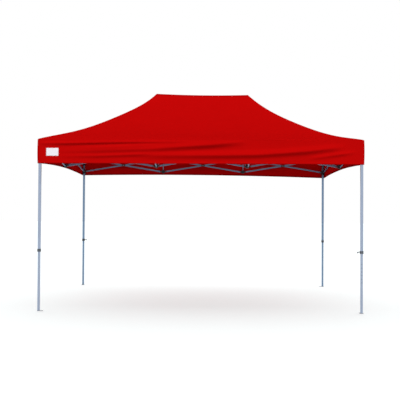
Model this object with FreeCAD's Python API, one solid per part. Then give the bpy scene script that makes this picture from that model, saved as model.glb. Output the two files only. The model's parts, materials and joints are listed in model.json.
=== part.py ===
import FreeCAD, Part
import math
import os

# Folding canopy: a scissor truss frame on four telescoping legs, under a sewn hipped cover.
# Millimetres, +Z up. The origin is on the ground under the centre of the cover, X runs along the
# ridge and the front faces -Y. The frame is modelled open, with its legs fully out.

Vector = FreeCAD.Vector
UP = Vector(0, 0, 1)
PARTS_DIR = "parts"

# Bracket columns: four across the width, three over the depth, the same distance apart both ways.
COLUMNS = ("left", "midleft", "midright", "right")
ROWS = ("front", "middle", "back")
column_pitch = 1475.0

# Truss: every bar runs from an upper bracket down to the next lower bracket, or back up.
upper_pivot_z = 2335.0
truss_depth = 230.0  # from the upper pivots down to the lower ones
pivot_reach = 21.0  # from the face of a bracket's hub out to the pivots of its bars
bar_height = 25.0
bar_thickness = 13.0
bar_wall = 1.2
bar_gap = 1.5  # between the two crossed bars of a pair
bar_overhang = 10.0  # from the end pivot to the end of the tube
end_plug_length = 22.0
crossing_bush_length = 20.0
rivet_stand_out = 1.0  # past the outer face of the partner bar

# Pivots. Pins and rivets are many-sided, and turn in holes whose flats clear their corners.
pin_radius = 3.0
pin_clearance = 0.06
pin_sides = 8

# Moulded brackets
hub_corner = 6.0
hub_below = 28.0
hub_above = 29.0
hub_floor = 6.0
hub_wall = 7.0
fork_clearance = 0.4  # between a bar and each cheek
cheek_thickness = 3.8
cheek_reach = 12.0  # from the pivot to the tip
cheek_root_half = 22.0
cheek_tip_half = 8.0
cheek_chamfer = 5.0

# Telescoping legs
outer_leg_width = 35.0
leg_wall = 1.5
leg_corner = 2.0
leg_play = 1.0  # between the two tubes, on each side
outer_leg_bottom_z = 832.0
leg_overlap = 418.0  # length of the inner tube that is inside the outer one
socket_roof = 6.0  # thickness of the bracket over the end of the leg

# Sliding brackets
slider_clearance = 0.5
slider_wall = 6.0
slider_above = 30.0
knob_radius = 8.0
knob_length = 13.0
knob_gap = 4.0  # between the cheeks and the knob
knob_edge = 3.0  # from the knob to the bottom of the slider

# Clamp collars
collar_wall = 4.0
collar_corner = 4.0
collar_above = 20.0
collar_below = 18.0
collar_clearance = 0.35
lever_width = 15.0
lever_thickness = 9.0
lever_reach = 39.0
lever_rise = 10.0  # of the lever's root over the end of the outer leg
lever_bend_share = 0.4  # of the reach that stays level
lever_drop = 3.0  # from the level part to the tip
lever_hook = 17.0

# Feet
foot_thickness = 4.0
foot_half_width = 26.0
foot_heel = 22.0
foot_toe = 62.0
foot_corner = 8.0
peg_radius = 5.5
peg_inset = 15.0  # from the toe to the peg hole

# King posts
post_width = 32.0
post_wall = 1.5
post_corner = 3.0
cap_lip = 2.0  # that the cap stands out past the post
cap_top_half = 6.0
cap_skirt = 12.0
guide_clearance = 3.5

# Upright stops between the lower and the upper brackets of the long sides
stop_width = 14.0
stop_wall = 1.2
stop_corner = 1.5
stop_gap = 2.0  # under the roof of the upper bracket's pocket

# Cover
cloth = 1.5
roof_drop = 1.8  # upright thickness of the sloping cloth
cover_gap = 0.5  # between the sides of the brackets and the cloth
cover_lift = 1.2  # of the cloth over the tops of the brackets
roof_rise = 896.0  # from the eaves to the ridge
panel_sag = 130.0  # of a tensioned panel at half its run
panel_strips = 8  # flat strips that make up a panel's curve
valance_depth = 336.0  # from the eaves to the hem

# Worked out from the sizes above
plane_offset = (bar_thickness + bar_gap) / 2
slot_half = bar_thickness / 2 + fork_clearance
inner_leg_width = outer_leg_width - 2 * leg_wall - 2 * leg_play
inner_leg_top_z = outer_leg_bottom_z + leg_overlap
hub_half = outer_leg_width / 2 + slider_clearance + slider_wall
slider_below = cheek_root_half + knob_gap + 2 * knob_radius + knob_edge
collar_half = outer_leg_width / 2 + collar_wall
cap_half = post_width / 2 + cap_lip
pivot_offset = hub_half + pivot_reach
pivot_span = column_pitch - 2 * pivot_offset
lower_pivot_z = upper_pivot_z - truss_depth
bar_length = math.hypot(pivot_span, truss_depth)
eave_z = upper_pivot_z + hub_above + cover_lift + roof_drop
ridge_z = eave_z + roof_rise
valance_bottom_z = eave_z - valance_depth
cover_margin = hub_half + cover_gap + cloth
cover_half_x = 1.5 * column_pitch + cover_margin
cover_half_y = column_pitch + cover_margin
ridge_half = column_pitch / 2


def column_axis(column, row):
    """The foot of a column's axis on the ground."""
    return Vector((column - 1.5) * column_pitch, (row - 1) * column_pitch, 0)


def is_corner(column, row):
    return column in (0, 3) and row in (0, 2)


def is_king(column, row):
    return column in (1, 2) and row == 1


def box(x0, x1, y0, y1, z0, z1):
    return Part.makeBox(x1 - x0, y1 - y0, z1 - z0, Vector(x0, y0, z0))


def closed(points):
    return Part.makePolygon(points + [points[0]])


def extruded(points, travel):
    """The solid swept by a closed outline of vectors along one straight travel."""
    return Part.Face(closed(points)).extrude(travel)


def square_outline(half, corner, z):
    """A square with its corners cut off, level at z."""
    short = half - corner
    corners = [(half, short), (short, half), (-short, half), (-half, short)]
    corners += [(-x, -y) for x, y in corners]
    return [Vector(x, y, z) for x, y in corners]


def square_column(half, corner, z0, z1):
    return extruded(square_outline(half, corner, z0), UP * (z1 - z0))


def tapered(low_outline, high_outline):
    """The solid between two level outlines, the higher one a smaller copy of the lower."""
    faces = [Part.Face(closed(low_outline)), Part.Face(closed(high_outline))]
    for k in range(len(low_outline)):
        side = [low_outline[k - 1], low_outline[k], high_outline[k], high_outline[k - 1]]
        faces.append(Part.Face(closed(side)))
    return Part.Solid(Part.Shell(faces))


def square_tube(half, wall, corner, z0, z1):
    bore = half - wall
    return square_column(half, corner, z0, z1).cut(box(-bore, bore, -bore, bore, z0, z1))


def round_rod(radius, start, travel):
    """A many-sided rod along X or Y, from start, with its corners at the given radius."""
    first = UP * radius
    axis = Vector(*travel).normalize()
    corners = []
    for k in range(pin_sides):
        turn = FreeCAD.Rotation(axis, 360.0 * k / pin_sides)
        corners.append(start + turn.multVec(first))
    return extruded(corners, travel)


def pin(start, travel):
    return round_rod(pin_radius, start, travel)


def pin_hole(start, travel):
    """The hole for a pin: its flats stand off the pin's corners by the clearance."""
    flat_distance = pin_radius + pin_clearance
    return round_rod(flat_distance / math.cos(math.pi / pin_sides), start, travel)


def turned(shape, heading):
    """A copy turned about the Z axis."""
    copy = shape.copy()
    copy.rotate(Vector(), UP, heading)
    return copy


def moved(shape, travel):
    copy = shape.copy()
    copy.translate(travel)
    return copy


# ---- truss bars ----


def truss_bar(crossing):
    """A tube along +X from its first pivot to its last, with its partner on the -Y side.

    crossing is "rivet" on the bar that carries the crossing's rivet, "hole" on its partner and
    None on a bar that crosses no other.
    """
    half_thickness = bar_thickness / 2
    half_height = bar_height / 2
    middle = bar_length / 2
    bar = box(
        -bar_overhang,
        bar_length + bar_overhang,
        -half_thickness,
        half_thickness,
        -half_height,
        half_height,
    )
    hollow_start = end_plug_length - bar_overhang
    hollow_end = bar_length - hollow_start
    spans = [(hollow_start, hollow_end)]
    if crossing:
        bush_half = crossing_bush_length / 2
        spans = [(hollow_start, middle - bush_half), (middle + bush_half, hollow_end)]
    for start, end in spans:
        inner_thickness = half_thickness - bar_wall
        inner_height = half_height - bar_wall
        bar = bar.cut(
            box(start, end, -inner_thickness, inner_thickness, -inner_height, inner_height)
        )
    holes = [0.0, bar_length]
    if crossing == "hole":
        holes.append(middle)
    for place in holes:
        bar = bar.cut(pin_hole(Vector(place, -half_thickness, 0), Vector(0, bar_thickness, 0)))
    if crossing == "rivet":
        length = bar_gap + bar_thickness + rivet_stand_out
        bar = bar.fuse(pin(Vector(middle, -half_thickness, 0), Vector(0, -length, 0)))
    return bar


def placed_bar(bar, first_pivot, last_pivot, side):
    """A bar laid from one pivot to another, with its local +Y along side."""
    along = last_pivot.sub(first_pivot).normalize()
    third = along.cross(side)
    axes = [along, side, third, first_pivot]
    rows = [[axis[k] for axis in axes] for k in range(3)]
    matrix = FreeCAD.Matrix(*rows[0], *rows[1], *rows[2], 0, 0, 0, 1)
    copy = bar.copy()
    copy.Placement = FreeCAD.Placement(matrix)
    return copy


def pivot_point(column, row, upper, heading, plane):
    """The pivot on one arm of a bracket: heading is the arm's direction, plane the bar's own."""
    z = upper_pivot_z if upper else lower_pivot_z
    return column_axis(column, row) + heading * pivot_offset + plane * plane_offset + UP * z


def crossed_pair(start, end, names, which="ab"):
    """The bars between two neighbouring columns, as {node: solid}.

    Bar a starts at the first column's upper bracket and lies on the + side of the truss plane.
    Bar b starts at its lower bracket and lies on the - side. The cross struts are one of the two.
    """
    heading = column_axis(*end).sub(column_axis(*start)).normalize()
    side = Vector(heading.y, heading.x, 0)
    made = {}
    for letter, name in zip(which, names):
        rising = letter == "b"
        plane = side * (-1 if rising else 1)
        first = pivot_point(*start, not rising, heading, plane)
        last = pivot_point(*end, rising, heading * -1, plane)
        crossing = None
        if len(which) == 2:
            crossing = "hole" if rising else "rivet"
        made[name] = placed_bar(truss_bar(crossing), first, last, side)
    return made


def truss_bars():
    bars = {}
    for row, row_name in enumerate(ROWS):
        for unit in range(3):
            names = [f"bar_{row_name}_{unit + 1}{letter}" for letter in "ab"]
            bars.update(crossed_pair((unit, row), (unit + 1, row), names))
    for column, column_name in ((0, "left"), (3, "right")):
        for unit in range(2):
            names = [f"bar_{column_name}_{unit + 1}{letter}" for letter in "ab"]
            bars.update(crossed_pair((column, unit), (column, unit + 1), names))
    for column in (1, 2):
        name = COLUMNS[column]
        bars.update(crossed_pair((column, 0), (column, 1), [f"strut_front_{name}"], "a"))
        bars.update(crossed_pair((column, 1), (column, 2), [f"strut_back_{name}"], "b"))
    return bars


# ---- brackets ----


def arm_headings(column, row, upper):
    """The directions, in degrees from +X, in which a bracket carries bars."""
    headings = []
    if column < 3:
        headings.append(0)
    if column > 0:
        headings.append(180)
    at_end = column in (0, 3)
    if row < 2 and (at_end or (row == 0 and upper) or (row == 1 and not upper)):
        headings.append(90)
    if row > 0 and (at_end or (row == 2 and upper) or (row == 1 and not upper)):
        headings.append(270)
    return headings


def fork(heading, upper):
    """Two tapered cheeks and the pin between them, on a hub at the origin, pivots at z = 0."""
    across_side = 1 if upper == (heading in (0, 180)) else -1
    centre = across_side * plane_offset
    half_width = slot_half + cheek_thickness
    tip = pivot_offset + cheek_reach
    root = hub_half - hub_corner
    taper_end = pivot_offset - cheek_reach
    side_view = [
        (root, -cheek_root_half),
        (hub_half, -cheek_root_half),
        (taper_end, -cheek_tip_half - cheek_chamfer),
        (tip - cheek_chamfer, -cheek_tip_half - cheek_chamfer),
        (tip, -cheek_tip_half),
        (tip, cheek_tip_half),
        (tip - cheek_chamfer, cheek_tip_half + cheek_chamfer),
        (taper_end, cheek_tip_half + cheek_chamfer),
        (hub_half, cheek_root_half),
        (root, cheek_root_half),
    ]
    outline = [Vector(u, centre - half_width, w) for u, w in side_view]
    cheeks = extruded(outline, Vector(0, 2 * half_width, 0))
    slot = box(
        hub_half,
        tip,
        centre - slot_half,
        centre + slot_half,
        -cheek_root_half,
        cheek_root_half,
    )
    bar_pin = pin(Vector(pivot_offset, centre - slot_half, 0), Vector(0, 2 * slot_half, 0))
    return turned(cheeks.cut(slot).fuse(bar_pin), heading)


def with_forks(hub, column, row, upper):
    """A hub at the origin with a fork for each of its bars, moved to its place on the column."""
    forks = [fork(heading, upper) for heading in arm_headings(column, row, upper)]
    bracket = hub.fuse(forks).removeSplitter()
    pivot_z = upper_pivot_z if upper else lower_pivot_z
    return moved(bracket, column_axis(column, row) + UP * pivot_z)


def plain_hub():
    """A moulded block, hollow from below under a floor that stiffens it."""
    pocket = hub_half - hub_wall
    hub = square_column(hub_half, hub_corner, -hub_below, hub_above)
    return hub.cut(box(-pocket, pocket, -pocket, pocket, -hub_below, hub_above - hub_floor))


def leg_cap_hub():
    """The block that closes the top of an outer leg, with a socket for the tube."""
    socket = outer_leg_width / 2
    socket_top = hub_above - socket_roof
    hub = square_column(hub_half, hub_corner, -hub_below, hub_above)
    return hub.cut(square_column(socket, leg_corner, -hub_below, socket_top))


def slider_hub():
    """The sleeve that slides on an outer leg, with the knob of its spring latch."""
    bore = outer_leg_width / 2 + slider_clearance
    sleeve = square_column(hub_half, hub_corner, -slider_below, slider_above)
    return sleeve.cut(square_column(bore, leg_corner, -slider_below, slider_above))


def latch_knob(heading):
    centre_z = knob_edge + knob_radius - slider_below
    knob = round_rod(knob_radius, Vector(hub_half, 0, centre_z), Vector(knob_length, 0, 0))
    return turned(knob, heading)


def stopped_hub():
    """The block that carries an upright stop in a socket through its floor."""
    socket = square_column(stop_width / 2, stop_corner, hub_above - hub_floor, hub_above)
    return plain_hub().cut(socket)


def upright_stop():
    """The tube that ends under the upper bracket and so sets the open depth of the truss."""
    pocket_roof = hub_above - hub_floor
    bottom_z = lower_pivot_z + pocket_roof
    top_z = upper_pivot_z + pocket_roof - stop_gap
    return square_tube(stop_width / 2, stop_wall, stop_corner, bottom_z, top_z)


def king_guide_hub():
    """The ring that a king post slides through, wide enough for the post's cap."""
    bore = post_width / 2 + guide_clearance
    hub = square_column(hub_half, hub_corner, -hub_below, hub_above)
    return hub.cut(square_column(bore, post_corner, -hub_below, hub_above))


def king_socket_hub():
    """The block that a king post stands in."""
    socket_floor = hub_floor - hub_below
    hub = square_column(hub_half, hub_corner, -hub_below, hub_above)
    return hub.cut(square_column(post_width / 2, post_corner, socket_floor, hub_above))


def king_post(column):
    """The tube from the lower bracket's socket up to a cap whose sides lie along the cloth."""
    ridge_slope = (roof_rise + 4 * panel_sag) / cover_half_y
    lean = math.hypot(1, ridge_slope)
    cloth_z = ridge_z - roof_drop - cover_gap * lean
    cap_top_z = cloth_z - ridge_slope * cap_top_half
    shoulder_z = cloth_z - ridge_slope * cap_half
    tube_top_z = shoulder_z - cap_skirt
    tube_bottom_z = lower_pivot_z - hub_below + hub_floor
    tube = square_tube(post_width / 2, post_wall, post_corner, tube_bottom_z, tube_top_z)
    skirt = square_column(cap_half, post_corner, tube_top_z, shoulder_z)
    top_corner = post_corner * cap_top_half / cap_half
    crown = tapered(
        square_outline(cap_half, post_corner, shoulder_z),
        square_outline(cap_top_half, top_corner, cap_top_z),
    )
    cap = skirt.fuse(crown)
    axis = column_axis(column, 1)
    return [moved(tube, axis), moved(cap, axis)]


# ---- legs ----


def leg_heading(column, row):
    """Each leg is the front left one turned a quarter turn further round the plan."""
    turns = {(0, 0): 0, (3, 0): 90, (3, 2): 180, (0, 2): 270}
    return turns[(column, row)]


def outer_leg_tube():
    top = upper_pivot_z + hub_above - socket_roof
    return square_tube(outer_leg_width / 2, leg_wall, leg_corner, outer_leg_bottom_z, top)


def clamp_collar():
    """A stepped sleeve: its upper bore holds the outer leg and its lower bore guides the inner."""
    bottom = outer_leg_bottom_z - collar_below
    top = outer_leg_bottom_z + collar_above
    seat = outer_leg_width / 2
    guide = inner_leg_width / 2 + collar_clearance
    collar = square_column(collar_half, collar_corner, bottom, top)
    collar = collar.cut(square_column(seat, leg_corner, outer_leg_bottom_z, top))
    return collar.cut(square_column(guide, leg_corner, bottom, outer_leg_bottom_z))


def cam_lever():
    """A finger lever that stands out from the collar along +Y and hooks down at its end."""
    root = collar_half
    tip = root + lever_reach
    top = outer_leg_bottom_z + lever_rise
    bend = lever_reach * lever_bend_share
    side_view = [
        (root, top),
        (root + bend, top),
        (tip, top - lever_drop),
        (tip, top - lever_drop - lever_hook),
        (tip - lever_thickness, top - lever_drop - lever_hook),
        (tip - lever_thickness, top - lever_drop - lever_thickness),
        (root + bend, top - lever_thickness),
        (root, top - lever_thickness),
    ]
    outline = [Vector(-lever_width / 2, y, z) for y, z in side_view]
    return extruded(outline, Vector(lever_width, 0, 0))


def inner_leg():
    """The lower tube, welded to a foot plate whose toe holds a peg hole."""
    tube = square_tube(
        inner_leg_width / 2, leg_wall, leg_corner, foot_thickness, inner_leg_top_z
    )
    short_heel = foot_heel - foot_corner
    short_toe = foot_toe - foot_corner
    short_side = foot_half_width - foot_corner
    plan = [
        (-foot_heel, -short_side),
        (-short_heel, -foot_half_width),
        (short_toe, -foot_half_width),
        (foot_toe, -short_side),
        (foot_toe, short_side),
        (short_toe, foot_half_width),
        (-short_heel, foot_half_width),
        (-foot_heel, short_side),
    ]
    plate = extruded([Vector(x, y, 0) for x, y in plan], UP * foot_thickness)
    peg_hole = Part.makeCylinder(
        peg_radius, foot_thickness, Vector(foot_toe - peg_inset, 0, 0)
    )
    return [tube, plate.cut(peg_hole)]


# ---- cover ----


def roof_panel(inward, eave, peak, sweep, plan):
    """A sagging panel of cloth from its eave in to the ridge, mitred to its plan outline."""
    top = []
    for k in range(panel_strips + 1):
        t = k / panel_strips
        sag = 4 * panel_sag * t * (1 - t)
        z = eave_z + roof_rise * t - sag
        top.append(inward * (-eave + (eave - peak) * t) + UP * z - sweep * 0.5)
    under = [point - UP * roof_drop for point in reversed(top)]
    skin = extruded(top + under, sweep)
    low_z = eave_z - roof_drop
    outline = [Vector(x, y, low_z) for x, y in plan]
    return skin.common(extruded(outline, UP * (ridge_z - low_z)))


def canopy_roof():
    """Four panels that meet at the hips and the ridge: front, right, back and left."""
    half_x, half_y = cover_half_x, cover_half_y
    front_plan = [(-half_x, -half_y), (half_x, -half_y), (ridge_half, 0), (-ridge_half, 0)]
    left_plan = [(-half_x, -half_y), (-ridge_half, 0), (-half_x, half_y)]
    front = roof_panel(Vector(0, 1, 0), half_y, 0, Vector(2 * half_x, 0, 0), front_plan)
    left = roof_panel(Vector(1, 0, 0), half_x, ridge_half, Vector(0, 2 * half_y, 0), left_plan)
    return [front, turned(left, 180), turned(front, 180), left]


def canopy_valance():
    """Four walls of cloth that hang from the eaves: front, right, back and left."""
    half_x, half_y = cover_half_x, cover_half_y
    inner_y = half_y - cloth
    low, high = valance_bottom_z, eave_z - roof_drop
    front = box(-half_x, half_x, -half_y, -inner_y, low, high)
    left = box(-half_x, cloth - half_x, -inner_y, inner_y, low, high)
    return [front, turned(left, 180), turned(front, 180), left]


# ---- the assembly ----


def corner_parts(column, row):
    """The outer leg, its slider and the inner leg of one corner."""
    corner = f"{ROWS[row]}_{COLUMNS[column]}"
    axis = column_axis(column, row)
    heading = leg_heading(column, row)
    outer = [
        moved(turned(shape, heading), axis)
        for shape in (outer_leg_tube(), clamp_collar(), cam_lever())
    ]
    outer.append(with_forks(leg_cap_hub(), column, row, True))
    inner = [moved(turned(shape, heading), axis) for shape in inner_leg()]
    knob_heading = 0 if column == 0 else 180
    knob = moved(latch_knob(knob_heading), axis + UP * lower_pivot_z)
    slider = [with_forks(slider_hub(), column, row, False), knob]
    return {
        f"outer_leg_{corner}": outer,
        f"slider_{corner}": slider,
        f"inner_leg_{corner}": inner,
    }


def king_parts(column):
    side = "left" if column == 1 else "right"
    socket = with_forks(king_socket_hub(), column, 1, False)
    return {
        f"king_guide_{side}": [with_forks(king_guide_hub(), column, 1, True)],
        f"king_post_{side}": [socket] + king_post(column),
    }


def side_parts(column, row):
    """The brackets between two legs. Those of the long sides have a stop between them."""
    place = f"{ROWS[row]}_{COLUMNS[column]}"
    lower = [with_forks(plain_hub(), column, row, False)]
    if column in (1, 2):
        lower = [with_forks(stopped_hub(), column, row, False)]
        lower.append(moved(upright_stop(), column_axis(column, row)))
    return {
        f"upper_bracket_{place}": [with_forks(plain_hub(), column, row, True)],
        f"lower_bracket_{place}": lower,
    }


def all_parts():
    """Every node of the canopy, as {name: its solids}."""
    parts = {}
    for row in range(len(ROWS)):
        for column in range(len(COLUMNS)):
            if is_corner(column, row):
                parts.update(corner_parts(column, row))
            elif is_king(column, row):
                parts.update(king_parts(column))
            else:
                parts.update(side_parts(column, row))
    parts.update({name: [bar] for name, bar in truss_bars().items()})
    parts["canopy_roof"] = canopy_roof()
    parts["canopy_valance"] = canopy_valance()
    return parts


os.makedirs(PARTS_DIR, exist_ok=True)
for node, solids in all_parts().items():
    shape = solids[0] if len(solids) == 1 else Part.makeCompound(solids)
    shape.exportStep(f"{PARTS_DIR}/{node}.step")
    print(node, len(shape.Solids), round(shape.Volume))
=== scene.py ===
"""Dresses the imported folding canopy: tube, moulding, cloth and stage."""

import json
import math

import bmesh
import bpy
import numpy as np
from bpy.props import FloatProperty, IntProperty, PointerProperty, StringProperty
from mathutils import Matrix, Quaternion, Vector

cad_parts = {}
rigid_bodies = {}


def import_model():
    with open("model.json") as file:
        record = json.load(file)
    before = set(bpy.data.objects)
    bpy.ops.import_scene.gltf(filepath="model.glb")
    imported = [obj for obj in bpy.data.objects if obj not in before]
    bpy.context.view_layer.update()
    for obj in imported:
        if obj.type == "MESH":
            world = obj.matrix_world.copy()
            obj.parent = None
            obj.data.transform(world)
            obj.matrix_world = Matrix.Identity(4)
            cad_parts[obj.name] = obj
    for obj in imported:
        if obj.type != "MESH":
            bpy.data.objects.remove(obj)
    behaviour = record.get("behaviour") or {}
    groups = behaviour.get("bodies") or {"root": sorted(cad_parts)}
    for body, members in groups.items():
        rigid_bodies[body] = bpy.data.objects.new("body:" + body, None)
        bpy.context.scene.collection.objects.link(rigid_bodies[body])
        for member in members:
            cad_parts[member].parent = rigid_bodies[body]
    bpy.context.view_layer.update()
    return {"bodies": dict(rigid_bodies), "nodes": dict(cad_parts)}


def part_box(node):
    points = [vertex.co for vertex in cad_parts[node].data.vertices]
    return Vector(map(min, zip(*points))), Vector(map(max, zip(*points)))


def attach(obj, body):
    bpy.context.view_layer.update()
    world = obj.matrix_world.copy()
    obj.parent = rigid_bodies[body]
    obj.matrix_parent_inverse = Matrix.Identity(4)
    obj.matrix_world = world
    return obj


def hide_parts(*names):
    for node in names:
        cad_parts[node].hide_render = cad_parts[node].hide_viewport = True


bl_info = {
    "name": "Folding Canopy",
    "version": (1, 0, 0),
    "blender": (4, 2, 0),
    "location": "3D View > Sidebar > Canopy",
    "description": "Gives a folding canopy its tube, moulding and cloth finishes, its cover and its stage",
    "category": "Object",
}

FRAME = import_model()

MM = 0.001
ROOT = "king_guide_left"
CORNERS = ("front_left", "front_right", "back_right", "back_left")
SIDES = ("front", "right", "back", "left")

# The cover's plan and heights, from the frame's own pieces
ROOF_LOW, ROOF_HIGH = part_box("canopy_roof")
HALF_X, HALF_Y = ROOF_HIGH.x, ROOF_HIGH.y
RIDGE_Z = ROOF_HIGH.z
EAVE_Z = ROOF_LOW.z + 1.8 * MM
HEM_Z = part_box("canopy_valance")[0].z
VALANCE_DEPTH = EAVE_Z - HEM_Z
RIDGE_HALF = sum(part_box("king_guide_right"), Vector()).x / 2
# The columns stand a bay apart, in three bays by two
PITCH = 2 * RIDGE_HALF
LEG_X = 1.5 * PITCH
LEG_Y = PITCH
# The long panels' length from eave to ridge over the cloth, and how near a corner the cloth turns round it
PANEL_SLOPE = 1.77
CORNER_REACH = 0.10


# ---- sizes and colours ----


def length(name, description, millimetres):
    size = millimetres * MM
    return FloatProperty(name=name, description=description, default=size, unit="LENGTH", precision=4)


def number(name, description, default):
    return FloatProperty(name=name, description=description, default=default)


def colour(name, description, default):
    return StringProperty(name=name, description=f"{description}, sRGB hex", default=default)


class FrameSettings(bpy.types.PropertyGroup):
    tube_colour: colour("Tube colour", "Clear anodised aluminium tube", "#A2ADC2")
    # Painted shade: a darker copy of the tube colour, given to the trusses, back legs, king posts and the
    # tube in the mid brackets for the shade they stand in
    shaded_tube_colour: colour("Painted shade tube colour", "Tube of the trusses and back legs, darkened as painted shade", "#788FAA")
    moulding_colour: colour("Moulding colour", "Black glass-filled nylon", "#23262C")
    collar_colour: colour("Collar colour", "Slate grey nylon of the leg collars", "#4A5058")
    steel_colour: colour("Steel colour", "Zinc-plated foot plates and bolts", "#B3B6BA")
    tab_colour: colour("Tab colour", "Hook-and-loop tabs", "#2A2C30")
    edge_round: length("Edge round", "Rounding of the mouldings' edges", 1.2)
    cap_height: length("Cap height", "Height of the cap on a king post", 23.4)
    cap_round: length("Cap round", "Rounding of a king post's cap", 5)
    pivot_offset: length("Pivot offset", "From a column's middle to the pivots round it", 45)
    truss_depth: length("Truss depth", "From the lower pivots to the upper ones", 230)
    bar_thickness: length("Bar thickness", "Thickness of a truss bar across its truss", 13)
    bar_depth: length("Bar depth", "Depth of a truss bar", 25)
    fork_half: length("Fork half", "From a bar's middle plane to its fork's outer face", 10.7)
    bolt_head: length("Bolt head", "Diameter of the pivot bolts' heads", 11)
    rivet_head: length("Rivet head", "Diameter of the crossing rivets' heads", 13)
    saddle_length: length("Saddle length", "Length of the moulded saddle at each crossing", 62)
    saddle_wall: length("Saddle wall", "Wall of the saddle", 2.2)
    inner_half: length("Inner tube half", "Half the width of the inner legs' tube", 15)
    outer_half: length("Outer tube half", "Half the width of the outer legs' tube", 17.5)
    collar_half: length("Collar half", "Half the width of the leg collars", 21.5)
    hole_pitch: length("Hole pitch", "Distance between the inner legs' height holes", 50)
    hole_count: IntProperty(name="Height holes", description="Holes in each inner leg", default=6, min=0)
    hole_diameter: length("Hole diameter", "Diameter of the height holes", 9)
    weld_width: length("Weld width", "Width of the bead round each inner leg's foot", 3)
    tab_height: length("Tab height", "Width of the hook-and-loop tabs' webbing", 30)
    tab_level: length("Tab level", "Height of the tabs' middle above the floor", 2230)


class CoverSettings(bpy.types.PropertyGroup):
    cloth_colour: colour("Cloth colour", "Dyed polyester, face side", "#C00707")
    # The coating is real, but its colour is drawn brighter than the cloth's face as painted light on the
    # underside, in place of light from the floor and through the cloth
    coating_and_painted_light_colour: colour("Coating colour with painted light", "Coated inner side of the cloth", "#EE0A0C")
    thread_colour: colour("Thread colour", "Sewing thread", "#9A0506")
    label_colour: colour("Label colour", "Blank satin label", "#F6F4FC")
    cloth_thickness: length("Cloth thickness", "Thickness of the coated cloth", 0.6)
    thread_pitch: length("Thread pitch", "Spacing of the weave's threads as drawn", 3.0)
    slack: number("Slack", "How slack the roof hangs, as a share of its usual sag", 1.0)
    panel_belly: length("Panel belly", "Further sag of a panel's middle", 14)
    ridge_sag: length("Ridge sag", "Sag of the ridge between the posts", 15)
    ridge_lean: length("Ridge lean", "How much higher the ridge's left end is than its right", 16)
    eave_dip: length("Eave dip", "Dip of the eave between two brackets", 4)
    eave_round: length("Eave round", "Radius to which the cloth turns at the eave", 8)
    seam_width: length("Seam width", "Width of the felled seams", 16)
    seam_height: length("Seam height", "How far the felled seams and the hem stand out", 1.1)
    hem_width: length("Hem width", "Width of the turned hem", 25)
    label_width: length("Label width", "Width of the blank label", 170)
    label_height: length("Label height", "Height of the blank label", 110)
    label_place: length("Label place", "The label's middle along the front", -2036)
    label_level: length("Label level", "Height of the label's middle above the floor", 2189)


class StageSettings(bpy.types.PropertyGroup):
    floor_radius: length("Floor radius", "Radius of the round floor", 60000)
    floor_glow: number("Floor glow", "Brightness of the floor's own glow", 1.68)
    floor_share: number("Floor share", "Share of the glow in the floor as seen", 0.33)
    dome_strength: number("Dome", "Strength of the even light all round", 0.22)
    front_strength: number("Front lamp", "Strength of the soft front lamp", 2.65)
    back_strength: number("Back lamp", "Strength of the soft back lamp", 1.9)
    overhead_strength: number("Overhead lamp", "Strength of the floor's overhead lamp", 3.0)
    lens: number("Lens", "Focal length in millimetres on a 36 mm sensor", 55.44)


# ---- materials ----


def linear(hex_colour):
    """sRGB hex to linear RGBA."""
    parts = [int(hex_colour[k : k + 2], 16) / 255 for k in (1, 3, 5)]
    return [c / 12.92 if c <= 0.04045 else ((c + 0.055) / 1.055) ** 2.4 for c in parts] + [1.0]


def shade(base, factor):
    """A linear colour made darker or lighter by a factor."""
    return [min(1, c * factor) for c in base[:3]] + [1]


def configure(tree, node, links=(), **settings):
    """Sets a node's inputs, by number as in_N or by their capitalised names, its other settings and its
    links. A link comes from a socket, or from a node's first output."""
    for name, value in settings.items():
        if name.startswith("in_"):
            node.inputs[int(name[3:])].default_value = value
        elif name[0].isupper():
            node.inputs[name.replace("_", " ")].default_value = value
        else:
            setattr(node, name, value)
    for target, source in dict(links).items():
        output = source.outputs[0] if isinstance(source, bpy.types.Node) else source
        tree.links.new(output, node.inputs[target])
    return node


def add(tree, kind, links=(), **settings):
    """Adds a node with its settings and links. The colours of a Mix are inputs 6 and 7 and its result is
    output 2, and the range that a MapRange gives is inputs 3 and 4."""
    return configure(tree, tree.nodes.new(f"ShaderNode{kind}"), links, **settings)


def new_material(name, base, **inputs):
    """A material with a Principled surface, whose inputs are set directly."""
    material = bpy.data.materials.new(name)
    material.use_nodes = True
    material.diffuse_color = base
    tree = material.node_tree
    return material, tree, configure(tree, tree.nodes["Principled BSDF"], Base_Color=base, **inputs)


def anodised_aluminium(name, hex_colour, along):
    """Extruded and clear anodised: die lines run along the tube and a satin film blurs what it mirrors."""
    base = linear(hex_colour)
    material, tree, surface = new_material(name, base, Metallic=1.0, Roughness=0.42)
    place = add(tree, "TexCoord").outputs["Object"]
    # Die lines are about 1 mm apart across the tube, and run on for half a metre
    stretch = [1 / (500 * MM) if axis == along else 1 / MM for axis in "XYZ"]
    lines = add(tree, "Mapping", {0: place}, Scale=stretch)
    grain = add(tree, "TexNoise", {"Vector": lines}, Scale=1.0, Detail=2.0)
    cloud = add(tree, "TexNoise", {"Vector": place}, Scale=1 / (120 * MM))
    tint = add(tree, "Mix", {0: cloud}, data_type="RGBA", in_6=shade(base, 0.93), in_7=shade(base, 1.05))
    rough = add(tree, "MapRange", {0: grain}, in_3=0.34, in_4=0.5)
    bump = add(tree, "Bump", {"Height": grain}, Strength=0.12, Distance=0.05 * MM)
    configure(tree, surface, {"Base Color": tint.outputs[2], "Roughness": rough, "Normal": bump})
    return material


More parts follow.
